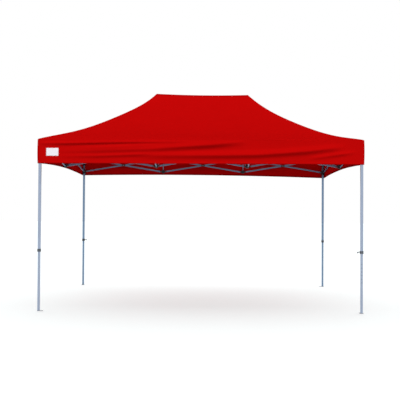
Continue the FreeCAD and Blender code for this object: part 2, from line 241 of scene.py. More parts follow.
def moulded_nylon(name, hex_colour):
    """Injection moulded with a spark-eroded grain: dull black, paler in random patches of dust."""
    base = linear(hex_colour)
    material, tree, surface = new_material(name, base, Roughness=0.55, IOR=1.53)
    place = add(tree, "TexCoord").outputs["Object"]
    grain = add(tree, "TexNoise", {"Vector": place}, Scale=1 / (0.8 * MM), Detail=3.0)
    dust = add(tree, "TexNoise", {"Vector": place}, Scale=1 / (35 * MM), Detail=5.0)
    ramp = add(tree, "ValToRGB", {0: dust})
    for stop, position, stop_colour in zip(ramp.color_ramp.elements, (0.45, 0.8), (base, shade(base, 1.7))):
        stop.position = position
        stop.color = stop_colour
    rough = add(tree, "MapRange", {0: dust}, in_3=0.48, in_4=0.66)
    bump = add(tree, "Bump", {"Height": grain}, Strength=0.35, Distance=0.08 * MM)
    configure(tree, surface, {"Base Color": ramp, "Roughness": rough, "Normal": bump})
    return material


def zinc_plated_steel(hex_colour):
    """Barrel-plated pressings and bolts: bright, faintly blue and mottled with handling."""
    base = linear(hex_colour)
    material, tree, surface = new_material("zinc_plated_steel", base, Metallic=1.0, Roughness=0.36)
    place = add(tree, "TexCoord").outputs["Object"]
    mottle = add(tree, "TexVoronoi", {"Vector": place}, Scale=1 / (6 * MM)).outputs["Distance"]
    scuff = add(tree, "TexNoise", {"Vector": place}, Scale=1 / (14 * MM), Detail=6.0)
    tone = add(tree, "Mix", {0: mottle}, data_type="RGBA", in_6=shade(base, 0.82), in_7=base)
    rough = add(tree, "MapRange", {0: scuff}, in_3=0.26, in_4=0.52)
    configure(tree, surface, {"Base Color": tone.outputs[2], "Roughness": rough})
    return material


def woven_polyester(name, hex_colour, pitch, roughness):
    """Plain-woven and dyed right through: deep, even and dry, with threads that show close to."""
    base = linear(hex_colour)
    material, tree, surface = new_material(name, base, Roughness=roughness, IOR=1.5, Specular_IOR_Level=0.0)
    # The real threads are 0.5 mm apart. They are drawn coarser, at the pitch given, so that they show.
    flat = add(tree, "UVMap", uv_map="cut")
    scale = math.tau / (20 * pitch)
    waves = {}
    for thread, axis in enumerate("XY"):
        settings = {"bands_direction": axis, "Scale": scale, "Distortion": 0.4, "Detail": 1.0}
        waves[thread] = add(tree, "TexWave", {"Vector": flat}, **settings).outputs["Fac"]
    weave = add(tree, "Math", waves, operation="MULTIPLY")
    place = add(tree, "TexCoord").outputs["Object"]
    slub = add(tree, "TexNoise", {"Vector": place}, Scale=1 / (300 * MM), Detail=4.0)
    depth = add(tree, "MapRange", {0: slub}, in_3=0.96, in_4=1.03)
    dyed = add(tree, "Mix", {7: depth}, data_type="RGBA", blend_type="MULTIPLY", in_0=1.0, in_6=base)
    crease = add(tree, "TexNoise", {"Vector": place}, Scale=1 / (90 * MM), Detail=3.0)
    soft = add(tree, "Bump", {"Height": crease}, Strength=0.18, Distance=2.5 * MM)
    bump = add(tree, "Bump", {"Height": weave, "Normal": soft}, Strength=0.25, Distance=0.3 * MM)
    configure(tree, surface, {"Base Color": dyed.outputs[2], "Normal": bump})
    return material


def stitch(tree, surface, line, along, cloth, thread_hex):
    """Colours stitches on a line. A stitch and its gap are 4 mm, drawn 8 mm long so that they show."""
    steps = add(tree, "Math", {0: along}, operation="MULTIPLY", in_1=1 / (8 * MM))
    part = add(tree, "Math", {0: steps}, operation="FRACT")
    dash = add(tree, "Math", {0: part}, operation="LESS_THAN", in_1=0.7)
    marks = add(tree, "Math", {0: line, 1: dash}, operation="MULTIPLY")
    tone = add(tree, "Mix", {0: marks}, data_type="RGBA", in_6=cloth, in_7=linear(thread_hex))
    configure(tree, surface, {"Base Color": tone.outputs[2]})


def sewn_seam(name, cloth_hex, thread_hex, rows):
    """Folded cloth with rows of lockstitch: each stitch dimples the cloth and shows as a short dash."""
    cloth = linear(cloth_hex)
    material, tree, surface = new_material(name, cloth, Roughness=0.9, IOR=1.5, Specular_IOR_Level=0.0)
    axes = add(tree, "SeparateXYZ", {0: add(tree, "UVMap", uv_map="cut")})
    line = None
    for row in rows:
        off = add(tree, "Math", {0: axes}, operation="SUBTRACT", in_1=row)
        away = add(tree, "Math", {0: off}, operation="ABSOLUTE")
        # A row stands 1.2 mm wide
        mark = add(tree, "Math", {0: away}, operation="LESS_THAN", in_1=0.6 * MM)
        line = add(tree, "Math", {0: line, 1: mark}, operation="MAXIMUM") if line else mark
    stitch(tree, surface, line, axes.outputs[1], cloth, thread_hex)
    bump = add(tree, "Bump", {"Height": line}, invert=True, Strength=0.6, Distance=0.5 * MM)
    configure(tree, surface, {"Normal": bump})
    return material


def satin_label(hex_colour, thread_hex, half_width, half_height):
    """Woven satin: smooth and faintly ribbed, with one row of stitches round its edge."""
    base = linear(hex_colour)
    shine = {"Roughness": 0.5, "IOR": 1.5, "Sheen_Weight": 0.2}
    material, tree, surface = new_material("woven_satin_label", base, **shine)
    flat = add(tree, "UVMap", uv_map="cut")
    axes = add(tree, "SeparateXYZ", {0: flat})
    # The stitches run 5 mm inside the edge
    insets = {}
    for axis, half in enumerate((half_width, half_height)):
        away = add(tree, "Math", {0: axes.outputs[axis]}, operation="ABSOLUTE")
        insets[axis] = add(tree, "Math", {0: away}, operation="SUBTRACT", in_1=half - 5 * MM)
    edge = add(tree, "Math", insets, operation="MAXIMUM")
    off = add(tree, "Math", {0: edge}, operation="ABSOLUTE")
    line = add(tree, "Math", {0: off}, operation="LESS_THAN", in_1=0.7 * MM)
    along = add(tree, "Math", {0: axes, 1: axes.outputs[1]}, operation="ADD")
    stitch(tree, surface, line, along, base, thread_hex)
    # Satin ribs are 0.4 mm apart, drawn 2 mm apart
    ribs = add(tree, "TexWave", {"Vector": flat}, bands_direction="Y", Scale=math.tau / (20 * 2 * MM))
    bump = add(tree, "Bump", {"Height": ribs.outputs["Fac"]}, Strength=0.2, Distance=0.2 * MM)
    configure(tree, surface, {"Normal": bump})
    return material


def hook_and_loop(hex_colour):
    """Knitted nylon loop: a dark, dull pile with no shine, with painted shade between its tufts and a painted
    lighter middle on each tuft.
    """
    base = linear(hex_colour)
    shine = {"Roughness": 0.95, "IOR": 1.5, "Specular_IOR_Level": 0.1, "Sheen_Weight": 0.3}
    material, tree, surface = new_material("hook_and_loop", base, **shine)
    place = add(tree, "TexCoord").outputs["Object"]
    # Tufts are 1.6 mm apart
    tufts = add(tree, "TexVoronoi", {"Vector": place}, Scale=1 / (1.6 * MM)).outputs["Distance"]
    # Painted light and shade: each tuft is drawn lighter in its middle and darker towards the gaps between
    # tufts
    tone = add(tree, "Mix", {0: tufts}, data_type="RGBA", in_6=shade(base, 1.25), in_7=shade(base, 0.6))
    bump = add(tree, "Bump", {"Height": tufts}, invert=True, Strength=0.7, Distance=0.6 * MM)
    configure(tree, surface, {"Base Color": tone.outputs[2], "Normal": bump})
    return material


# ---- meshes ----


def make_piece(name, points, faces, materials, body, cut=None, smooth=True):
    """A mesh piece that rides on a body. cut holds each point's place on the flat cloth, in metres."""
    mesh = bpy.data.meshes.new(name)
    mesh.from_pydata([tuple(p) for p in points], [], [tuple(f) for f in faces])
    for material in materials:
        mesh.materials.append(material)
    if cut is not None:
        layer = mesh.uv_layers.new(name="cut")
        corners = np.zeros(len(mesh.loops), int)
        mesh.loops.foreach_get("vertex_index", corners)
        layer.data.foreach_set("uv", np.asarray(cut, float)[corners].ravel())
    mesh.polygons.foreach_set("use_smooth", [smooth] * len(mesh.polygons))
    mesh.update()
    piece = bpy.data.objects.new(name, mesh)
    bpy.context.scene.collection.objects.link(piece)
    if body:
        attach(piece, body)
    return piece


def grid_faces(rows, columns, first=0, closed=False):
    """Quads over a grid of points stored row by row."""
    faces = []
    for r in range(rows - 1):
        for c in range(columns if closed else columns - 1):
            a = first + r * columns + c
            b = first + r * columns + (c + 1) % columns
            faces.append((a, b, b + columns, a + columns))
    return faces


class Solid:
    """Collects points and faces for one piece, and makes it."""

    def __init__(self):
        self.points = []
        self.faces = []

    def rings(self, rings, close_ends=True):
        """A closed skin through rings with the same number of points."""
        first = len(self.points)
        count = len(rings[0])
        for ring in rings:
            self.points.extend(ring)
        self.faces.extend(grid_faces(len(rings), count, first, closed=True))
        if close_ends:
            last = first + count * (len(rings) - 1)
            self.faces.append(tuple(first + k for k in reversed(range(count))))
            self.faces.append(tuple(last + k for k in range(count)))

    def button(self, centre, axis, radius, height, sides=16, crown=0.55):
        """A low domed head that stands on a face, with its axis pointing out."""
        axis = Vector(axis).normalized()
        across = axis.orthogonal().normalized()
        other = axis.cross(across)
        rings = []
        turns = [math.tau * k / sides for k in range(sides)]
        spokes = [across * math.cos(turn) + other * math.sin(turn) for turn in turns]
        for share, lift in ((1.0, 0.0), (1.0, 0.35), (0.9, 0.7), (crown, 1.0)):
            rings.append([centre + axis * height * lift + spoke * radius * share for spoke in spokes])
        self.rings(rings)

    def block(self, centre, along, side, up, sizes, corner):
        """A bar-shaped block with its long edges chamfered; sizes run along, side and up."""
        reach, width, height = (size / 2 for size in sizes)
        outline = [
            (width, height - corner), (width - corner, height),
            (corner - width, height), (-width, height - corner),
            (-width, corner - height), (corner - width, -height),
            (width - corner, -height), (width, corner - height),
        ]
        self.rings([
            [centre + along * reach * end + side * y + up * z for y, z in outline] for end in (-1, 1)
        ])

    def make(self, name, material, body, smooth=True):
        make_piece(name, self.points, self.faces, [material], body, smooth=smooth)


# ---- the frame's finishes ----

# Where one finish ends and the next begins: heights on the legs and on the tube in a bracket's socket, and
# distances from the two ends of a king post and of a bar
FOOT_TOP = 4.5 * MM
COLLAR_LOW, COLLAR_HIGH = 813 * MM, 853 * MM
HUB_LOW = 2306 * MM
SOCKET_TOP = 2134.5 * MM
POST_SOCKET = 58 * MM
POST_CAP = 28 * MM
BAR_END = 4 * MM
# An outer leg's long faces are larger than this, in square metres, and its collar's and hub's smaller
TUBE_FACE = 0.04
# The share of its width and of its height to which a king post's cap is drawn in
CAP_WIDTH, CAP_KEEP = 0.8, 0.4
WELD_DISTANCE = 0.01 * MM
AXES = {"X": Vector((1, 0, 0)), "Y": Vector((0, 1, 0)), "Z": Vector((0, 0, 1))}


def direction_of(node):
    """The axis that a bar or strut runs along, seen from above."""
    low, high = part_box(node)
    return "X" if high.x - low.x > high.y - low.y else "Y"


def paint_node(node, materials, choose):
    """Gives each face of a CAD node one of the materials; choose takes the face."""
    mesh = FRAME["nodes"][node].data
    mesh.materials.clear()
    for material in materials:
        mesh.materials.append(material)
    for face in mesh.polygons:
        face.material_index = choose(face)
        face.use_smooth = False


def paint_by_height(node, materials, *limits):
    """Picks each face's material by how many of the heights its middle is above."""
    paint_node(node, materials, lambda face: sum(face.center.z > limit for limit in limits))


def paint_bar(node, tubes, nylon):
    """Makes a bar of tube, with moulded ends."""
    low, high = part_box(node)
    middle = (low + high) / 2
    along = direction_of(node)
    end = (high - middle).dot(AXES[along]) - BAR_END

    def at_end(face):
        off = (face.center - middle).dot(AXES[along])
        return int(abs(off) > end or abs(face.normal.dot(AXES[along])) > 0.9)

    paint_node(node, [tubes[along], nylon], at_end)


def modify(piece, name, kind, **settings):
    """Adds a modifier with its settings."""
    modifier = piece.modifiers.new(name, kind)
    for setting, value in settings.items():
        setattr(modifier, setting, value)


def round_edges(node, width):
    """Rounds a node's sharp edges with modifiers, which leave its own points as they are."""
    piece = FRAME["nodes"][node]
    modify(piece, "weld", "WELD", merge_threshold=WELD_DISTANCE)
    angle = math.radians(35)
    modify(piece, "edge_round", "BEVEL", width=width, segments=2, limit_method="ANGLE", angle_limit=angle)


def round_cap(node, cap_height, width):
    """Draws a post's cap in and rounds it, also with modifiers, so that the cloth lies over it."""
    piece = FRAME["nodes"][node]
    low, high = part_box(node)
    base = (low + high) / 2
    base.z = high.z - cap_height
    for name, above in (("cap", base.z - 0.1 * MM), ("cap_top", high.z - 1 * MM)):
        group = piece.vertex_groups.new(name=name)
        group.add([v.index for v in piece.data.vertices if v.co.z > above], 1.0, "REPLACE")
    draw = Matrix.Diagonal((CAP_WIDTH, CAP_WIDTH, CAP_KEEP, 1))
    draw = Matrix.Translation(base) @ draw @ Matrix.Translation(-base)
    modify(piece, "draw_in", "HOOK", object=FRAME["bodies"][node], vertex_group="cap", matrix_inverse=draw)
    modify(piece, "weld_cap", "WELD", merge_threshold=WELD_DISTANCE)
    top = {"limit_method": "VGROUP", "vertex_group": "cap_top"}
    modify(piece, "round_cap", "BEVEL", width=width, segments=3, **top)


class CANOPY_OT_finish_frame(bpy.types.Operator):
    """Give the tubes, mouldings and foot plates their finishes"""

    bl_idname = "canopy.finish_frame"
    bl_label = "Finish Frame"

    def execute(self, context):
        sizes = context.scene.canopy_frame
        tube = anodised_aluminium("anodised_tube", sizes.tube_colour, "Z")
        # Painted shade: darker copies of the tube for the parts that stand in shade under and behind the
        # cover
        shaded_tubes = {}
        for axis in AXES:
            shaded_tubes[axis] = anodised_aluminium(f"worn_tube_along_{axis}", sizes.shaded_tube_colour, axis)
        nylon = moulded_nylon("moulded_nylon", sizes.moulding_colour)
        slate = moulded_nylon("moulded_nylon_slate", sizes.collar_colour)
        steel = zinc_plated_steel(sizes.steel_colour)
        for corner in CORNERS:
            leg_tube = shaded_tubes["Z"] if corner.startswith("back") else tube
            leg = f"outer_leg_{corner}"
            paint_by_height(leg, [leg_tube, slate, leg_tube, nylon], COLLAR_LOW, COLLAR_HIGH, HUB_LOW)
            for face in FRAME["nodes"][leg].data.polygons:
                # The tube's own long faces have their middles anywhere between its ends
                if face.area > TUBE_FACE:
                    face.material_index = 0
            paint_by_height(f"inner_leg_{corner}", [steel, leg_tube], FOOT_TOP)
            paint_by_height(f"slider_{corner}", [nylon])
        for post in ("king_post_left", "king_post_right"):
            low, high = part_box(post)
            paint_by_height(post, [nylon, shaded_tubes["Z"], nylon], low.z + POST_SOCKET, high.z - POST_CAP)
            round_cap(post, sizes.cap_height, sizes.cap_round)
        for node in FRAME["nodes"]:
            if node.startswith("lower_bracket") and "mid" in node:
                # The tube that stands in the front and back brackets shows above their sockets
                paint_by_height(node, [nylon, shaded_tubes["Z"]], SOCKET_TOP)
            elif node.startswith(("upper_bracket", "lower_bracket", "king_guide")):
                paint_by_height(node, [nylon])
            elif node.startswith(("bar_", "strut_")):
                paint_bar(node, shaded_tubes, nylon)
            if node.startswith(("upper_", "lower_", "king_", "slider_", "outer_leg_")):
                round_edges(node, sizes.edge_round)
        return {"FINISHED"}


# A saddle's inner wall is thinner than its outer one, because it lies in the gap between the two bars
INNER_WALL = 0.55 * MM
# The round boss on a saddle, and how far off the saddle's face the rivet's head starts
BOSS_RADIUS, BOSS_HEIGHT = 12.5 * MM, 1.6 * MM
RIVET_LIFT = 1.5 * MM


class CANOPY_OT_add_hardware(bpy.types.Operator):
    """Add the saddles and rivets where bars cross, and the bolts where they end"""

    bl_idname = "canopy.add_hardware"
    bl_label = "Add Pivot Hardware"

    def execute(self, context):
        sizes = context.scene.canopy_frame
        nylon = bpy.data.materials["moulded_nylon"]
        steel = bpy.data.materials["zinc_plated_steel"]
        run = PITCH - 2 * sizes.pivot_offset
        tilt = math.atan2(sizes.truss_depth, run)
        reach = math.hypot(sizes.truss_depth, run) / 2
        bolts = {}
        for node in sorted(n for n in FRAME["nodes"] if n.startswith(("bar_", "strut_"))):
            low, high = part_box(node)
            direction = direction_of(node)
            flat, side = AXES[direction], AXES["Y" if direction == "X" else "X"]
            falls = node[-1] == "a" if node.startswith("bar_") else "front" in node
            # A rivet stands out of a falling bar on its partner's side, so the far face gives its middle
            half = sizes.bar_thickness / 2
            far = high.dot(side) - half if falls else low.dot(side) + half
            centre = (low + high) / 2
            centre += side * (far - centre.dot(side))
            slope = -tilt if falls else tilt
            along = flat * math.cos(slope) + AXES["Z"] * math.sin(slope)
            up = AXES["Z"] * math.cos(slope) - flat * math.sin(slope)
            if node.startswith("bar_"):
                outward = side if falls else -side
                self.add_crossing(node, centre, along, outward, up, sizes, nylon, steel)
            for end in (-1, 1):
                pivot = centre + along * reach * end
                bolts.setdefault(self.bracket_at(pivot), []).append((pivot, side))
        for body, places in sorted(bolts.items()):
            heads = Solid()
            for pivot, side in places:
                # A hexagonal nut on one side and a round head on the other
                for way, sides in ((-1, 6), (1, 12)):
                    face = pivot + side * way * sizes.fork_half
                    heads.button(face, side * way, sizes.bolt_head / 2, 2.6 * MM, sides, crown=0.6)
            heads.make(f"bolts_{body}", steel, body, smooth=False)
        return {"FINISHED"}

    def bracket_at(self, pivot):
        """The body of the bracket whose box holds a pivot. Legs and posts also reach past the pivots at their
        other end, so each node is looked at on its own level alone."""
        middle = (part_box("slider_front_left")[1].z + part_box("upper_bracket_front_midleft")[0].z) / 2
        upper = ("upper_bracket", "king_guide", "outer_leg")
        lower = ("lower_bracket", "king_post", "slider")
        for node in FRAME["nodes"]:
            low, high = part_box(node)
            inside = all(low[k] - MM < pivot[k] < high[k] + MM for k in range(3))
            if inside and node.startswith(upper if pivot.z > middle else lower):
                return node
        raise RuntimeError(f"no bracket holds the pivot at {tuple(pivot)}")

    def add_crossing(self, node, centre, along, outward, up, sizes, nylon, steel):
        """A moulded saddle round a bar at its crossing, and the rivet's head on its outer face."""
        wall = sizes.saddle_wall
        saddle = Solid()
        middle = centre + outward * (wall - INNER_WALL) / 2
        across = (sizes.bar_thickness + wall + INNER_WALL, sizes.bar_depth + 2 * wall)
        saddle.block(middle, along, outward, up, (sizes.saddle_length, *across), 2.2 * MM)
        face = centre + outward * (sizes.bar_thickness / 2 + wall)
        saddle.button(face, outward, BOSS_RADIUS, BOSS_HEIGHT, sides=20, crown=0.86)
        saddle.make(f"saddle_{node}", nylon, node, smooth=False)
        head = Solid()
        head.button(face + outward * RIVET_LIFT, outward, sizes.rivet_head / 2, 2.4 * MM)
        head.make(f"rivet_{node}", steel, node)


# Lengths in which a ring round a leg turns each corner
CORNER_STEPS = 6
# Heights of a foot plate's top and of the lowest height hole, and the height, radius, depth and number of
# sides of each collar screw's head
PLATE_TOP = 4 * MM
FIRST_HOLE = 420 * MM
SCREWS = ((823 * MM, 5.0 * MM, 2.6 * MM, 20), (843 * MM, 4.2 * MM, 2.0 * MM, 6))


def square_ring(axis, half, z, corner):
    """Points round a rounded square about a leg's axis."""
    ring = []
    for quarter in range(4):
        for k in range(CORNER_STEPS + 1):
            turn = math.pi / 2 * (quarter + k / CORNER_STEPS)
            middle = math.pi / 2 * (quarter + 0.5)
            x = (half - corner) * math.copysign(1, math.cos(middle)) + corner * math.cos(turn)
            y = (half - corner) * math.copysign(1, math.sin(middle)) + corner * math.sin(turn)
            ring.append(axis + Vector((x, y, z)))
    return ring


class CANOPY_OT_add_leg_details(bpy.types.Operator):
    """Add the height holes, collar screws, foot welds and cover tabs of the legs"""

    bl_idname = "canopy.add_leg_details"
    bl_label = "Add Leg Details"

    def execute(self, context):
        sizes = context.scene.canopy_frame
        nylon = bpy.data.materials["moulded_nylon"]
        steel = bpy.data.materials["zinc_plated_steel"]
        pile = hook_and_loop(sizes.tab_colour)
        for turn, corner in enumerate(CORNERS):
            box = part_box(f"slider_{corner}")
            axis = Vector((math.copysign(LEG_X, box[0].x), math.copysign(LEG_Y, box[0].y), 0))
            out = Quaternion(AXES["Z"], math.radians(90 * turn)) @ Vector((-1, 0, 0))
            holes = Solid()
            for k in range(sizes.hole_count):
                spot = axis + out * sizes.inner_half + AXES["Z"] * (FIRST_HOLE + k * sizes.hole_pitch)
                holes.button(spot, out, sizes.hole_diameter / 2, 0.12 * MM, sides=20, crown=0.9)
            if sizes.hole_count:
                holes.make(f"height_holes_{corner}", nylon, f"inner_leg_{corner}")
            screws = Solid()
            for z, radius, height, sides in SCREWS:
                spot = axis + out * sizes.collar_half + AXES["Z"] * z
                screws.button(spot, out, radius, height, sides, crown=0.7)
            screws.make(f"collar_screws_{corner}", steel, f"outer_leg_{corner}")
            width = sizes.weld_width
            weld = Solid()
            rings = []
            for share, rise in ((1.0, 0.0), (0.75, 0.45), (0.3, 0.85), (0.0, 1.0)):
                out_by, z = width * share, PLATE_TOP + width * rise
                rings.append(square_ring(axis, sizes.inner_half + out_by, z, 2 * MM + out_by))
            weld.rings(rings, close_ends=False)
            weld.make(f"foot_weld_{corner}", steel, f"inner_leg_{corner}")
            self.add_tab(sizes, corner, axis, pile)
        return {"FINISHED"}

    def add_tab(self, sizes, corner, axis, material):
        """A strap closed round the top of the leg, which holds the cover's corner to it."""
        strap = Solid()
        rings = []
        for out, up in ((0.3, -1.0), (2.0, -1.0), (2.4, -0.9), (2.4, 0.9), (2.0, 1.0), (0.3, 1.0)):
            z = sizes.tab_level + up * sizes.tab_height / 2
            rings.append(square_ring(axis, sizes.outer_half + out * MM, z, (2 + out) * MM))
        strap.rings(rings, close_ends=False)
        # The tail of the strap, lapped over itself and turned to the middle of the frame
        inward = Vector((-math.copysign(1, axis.x), 0, 0))
        along = Vector((0, -math.copysign(1, axis.y), 0))
        tail = axis + inward * (sizes.outer_half + 3.4 * MM) + AXES["Z"] * sizes.tab_level
        strap.block(tail, along, inward, AXES["Z"], (30 * MM, 1.6 * MM, 0.96 * sizes.tab_height), 0.5 * MM)
        strap.make(f"cover_tab_{corner}", material, f"outer_leg_{corner}", smooth=False)


# ---- the cover ----


def column_bodies(at_corner, at_post, bracket):
    """The bodies that stand at the columns, row by row from the front and from left to right."""
    rows = []
    for row in ("front", "middle", "back"):
        names = []
        for column in ("left", "midleft", "midright", "right"):
            inner = column.startswith("mid")
            if row == "middle":
                names.append(f"{at_post}_{column[3:]}" if inner else f"{bracket}_middle_{column}")
            else:
                names.append(f"{bracket if inner else at_corner}_{row}_{column}")
        rows.append(names)
    return rows


UPPER_BODIES = column_bodies("outer_leg", "king_guide", "upper_bracket")
LOWER_BODIES = column_bodies("slider", "king_post", "lower_bracket")
# How far the lower brackets have fallen below the upper ones when the frame is folded up
FALL = 1.172
# The share of that fall by which the cloth hangs down in the middle between four columns
PLEAT = 0.6
# How far round each column the cloth stays as it is, so that the bracket has room in the folded frame
COLUMN_REACH = 31 * MM

# Drag folds of the valance on each side: points of the crease below the fold, as (place along the side,
# height, how far the fold stands out), and how far its lower and upper slopes reach, all in millimetres
DRAG_FOLDS = {
    "front": [
        ([(-2120, 2291, 10), (-1900, 2293, 24), (-1500, 2300, 33), (-1020, 2312, 30), (-360, 2318, 14),
          (100, 2325, 0)], 26, 18),
        ([(-2000, 2170, 0), (-1370, 2187, 24), (-720, 2205, 30), (-200, 2243, 42), (130, 2265, 48),
          (300, 2281, 42), (660, 2312, 0)], 42, 40),
        ([(-1800, 2235, 0), (-1300, 2243, 16), (-800, 2262, 16), (-350, 2290, 0)], 24, 22),
        ([(-950, 2116, 0), (-550, 2120, 22), (300, 2124, 38), (790, 2134, 42), (1120, 2157, 41),
          (1450, 2182, 39), (1780, 2222, 28), (1980, 2245, 0)], 40, 40),
        ([(1450, 2090, 0), (1610, 2107, 12), (1940, 2155, 22), (2140, 2186, 0)], 28, 24),
        ([(-2050, 2112, 0), (-1370, 2120, 18), (-900, 2138, 20), (-600, 2152, 0)], 26, 24),
    ],
    "right": [
        ([(-1450, 2300, 0), (-900, 2272, 24), (-300, 2220, 26), (200, 2170, 0)], 36, 34),
        ([(-200, 2110, 0), (400, 2160, 30), (950, 2225, 30), (1450, 2310, 0)], 38, 36),
    ],
    "back": [
        ([(-2150, 2300, 0), (-1500, 2235, 30), (-900, 2190, 28), (-400, 2160, 0)], 38, 36),
        ([(-600, 2120, 0), (0, 2155, 26), (600, 2215, 28), (1100, 2290, 0)], 36, 34),
        ([(600, 2110, 0), (1200, 2165, 32), (1700, 2230, 30), (2150, 2310, 0)], 40, 38),
    ],
    "left": [
        ([(-1450, 2310, 0), (-950, 2235, 28), (-400, 2165, 28), (100, 2120, 0)], 38, 36),
        ([(100, 2160, 0), (550, 2200, 24), (1000, 2250, 24), (1450, 2300, 0)], 34, 32),
    ],
}

# How far each side's hem rises in its middle, and how far it drops at each side's two ends
HEM_RISE = {"front": 0.0, "right": 0.045, "back": 0.030, "left": 0.045}
HEM_DROP = {"front": (0.0, 0.0), "right": (0.0, 0.032), "back": (0.032, 0.0), "left": (0.0, 0.0)}
# How the hips sag from eave to ridge: factors of 1, t, t squared and so on, times the arch 4t(1 - t)
HIP_SAG = {
    "left": (0.055, 0.340, -0.499, 0.009, 0.354),
    "right": (0.090, 0.550, -1.936, 2.662, -1.194),
}
# Each side's half length, its half depth to the opposite side, and its along and outward directions
SIDE_FRAMES = {
    "front": (HALF_X, HALF_Y, AXES["X"], -AXES["Y"]),
    "right": (HALF_Y, HALF_X, AXES["Y"], AXES["X"]),
    "back": (HALF_X, HALF_Y, -AXES["X"], AXES["Y"]),
    "left": (HALF_Y, HALF_X, -AXES["Y"], -AXES["X"]),
}
LONG_SIDES = ("front", "back")
# How far the valance's lower edge waves in and out, and how far its corners belly
EDGE_WAVE, CORNER_BELLY = 5 * MM, 3 * MM
# Where the corner seams start, and where those of the hips and of the valance's corners end
SEAM_START, HIP_END, CORNER_END = 0.01, 0.995, 0.93
# Rows of points between ridge and eave and between eave and hem, and lengths of each seam
ROOF_ROWS = 44
VALANCE_ROWS = 52
SEAM_STEPS = 60


def smooth_step(value):
    value = np.clip(value, 0.0, 1.0)
    return float(value * value * (3 - 2 * value))


def half_length(side, t):
    """Half the length of a side's roof panel, at share t of the way from eave to ridge."""
    half = SIDE_FRAMES[side][0]
    return half + ((RIDGE_HALF if side in LONG_SIDES else 0.0) - half) * t


def stand_out(side, a, half, depth, out):
    """The place in plan at share a of a side, moved out by a distance that turns the corner too."""
    along, outward = SIDE_FRAMES[side][2:]
    corner = 1 - smooth_step((1 - abs(a)) * half / CORNER_REACH)
    return along * (a * half + math.copysign(out * corner, a)) + outward * (depth + out)


def roof_sag(x, t):
    """How far the cloth hangs below a straight line from eave to ridge."""
    share = smooth_step((x / HALF_X + 1) / 2)
    left, right = (sum(factor * t**power for power, factor in enumerate(HIP_SAG[end])) for end in HIP_SAG)
    return 4 * t * (1 - t) * (left * (1 - share) + right * share)


def eave_draw(distance, sizes):
    """How far the round of the eave lies inside the sharp corner, at a distance from it over the cloth."""
    return 0.25 * sizes.eave_round * math.exp(-((distance / (0.6 * sizes.eave_round)) ** 2))


def eave_dip(side, a, sizes):
    """How far the eave dips between the brackets that hold it up."""
    bays = 3 if side in LONG_SIDES else 2
    return sizes.eave_dip * math.sin(math.pi * bays * (a + 1) / 2) ** 2


def roof_point(side, a, t, sizes, lift=0.0):
    """A point of the roof: a runs -1 to 1 along the side, t from 0 at the eave to 1 at the ridge."""
    depth = SIDE_FRAMES[side][1]
    depth += ((0.0 if side in LONG_SIDES else RIDGE_HALF) - depth) * t
    draw = eave_draw(t * PANEL_SLOPE, sizes)
    place = stand_out(side, a, half_length(side, t), depth, -draw)
    z = EAVE_Z + (RIDGE_Z - EAVE_Z) * t - sizes.slack * roof_sag(place.x, t)
    z -= sizes.panel_belly * (1 - a * a) * math.sin(math.pi * t) ** 2
    if side in LONG_SIDES:
        z -= sizes.ridge_sag * (1 - a * a) * t**6
    z += sizes.ridge_lean * smooth_step(t) * (0.25 - 0.5 * place.x / RIDGE_HALF)
    z -= eave_dip(side, a, sizes) * (1 - t) ** 8
    return Vector((place.x, place.y, z - draw + lift))


def drag_fold(side, x, z):
    """How far the drag folds push the valance out at a point of its side."""
    out = 0.0
    for line, low_reach, high_reach in DRAG_FOLDS[side]:
        places, levels, heights = zip(*line)
        # A fold falls away steepest at its crease, which lies below its crest
        above = z / MM - float(np.interp(x / MM, places, levels)) - 0.7 * low_reach
        reach = high_reach if above > 0 else low_reach
        out += float(np.interp(x / MM, places, heights)) * math.exp(-((above / reach) ** 2))
    return out * MM


def hem_depth(side, a):
    """How deep the valance hangs below the eave at share a of a side."""
    start, end = HEM_DROP[side]
    return VALANCE_DEPTH - HEM_RISE[side] * (1 - a * a) + start + (end - start) * (a + 1) / 2


def valance_point(side, a, v, sizes, lift=0.0):
    """A point of the valance: v from 0 at the eave to 1 at the hem. lift stands off the cloth."""
    half, depth = SIDE_FRAMES[side][:2]
    x = a * half
    dip = eave_dip(side, a, sizes)
    z = EAVE_Z - dip - v * (hem_depth(side, a) - dip)
    draw = eave_draw(v * hem_depth(side, a), sizes)
    ends = smooth_step((1 - abs(a)) * half / CORNER_REACH)
    # Drag folds and slow waves of the free lower edge, and at the corners a slight belly
    out = drag_fold(side, x, z) * ends
    out += EDGE_WAVE * ends * v * (1 + math.sin(3.1 * x + len(side)) * math.cos(1.3 * x + 1))
    out += CORNER_BELLY * (1 - ends) * math.sin(math.pi * v)
    place = stand_out(side, a, half, depth, out + lift - draw)
    return Vector((place.x, place.y, z - draw))


def ring_places():
    """Where the points of each ring stand, as (side, a), with the corners shared between sides."""
    places = []
    for side in SIDES:
        count = 132 if side in LONG_SIDES else 88
        places += [(side, -1 + 2 * k / count) for k in range(count)]
    return places


def bay_of(distance, count):
    """The bay that a distance from the first column falls in, and how far across that bay it is."""
    bay = int(min(max(distance / PITCH, 0.0), count - 0.001))
    share = (distance - bay * PITCH - COLUMN_REACH) / (PITCH - 2 * COLUMN_REACH)
    return bay, min(max(share, 0.0), 1.0)


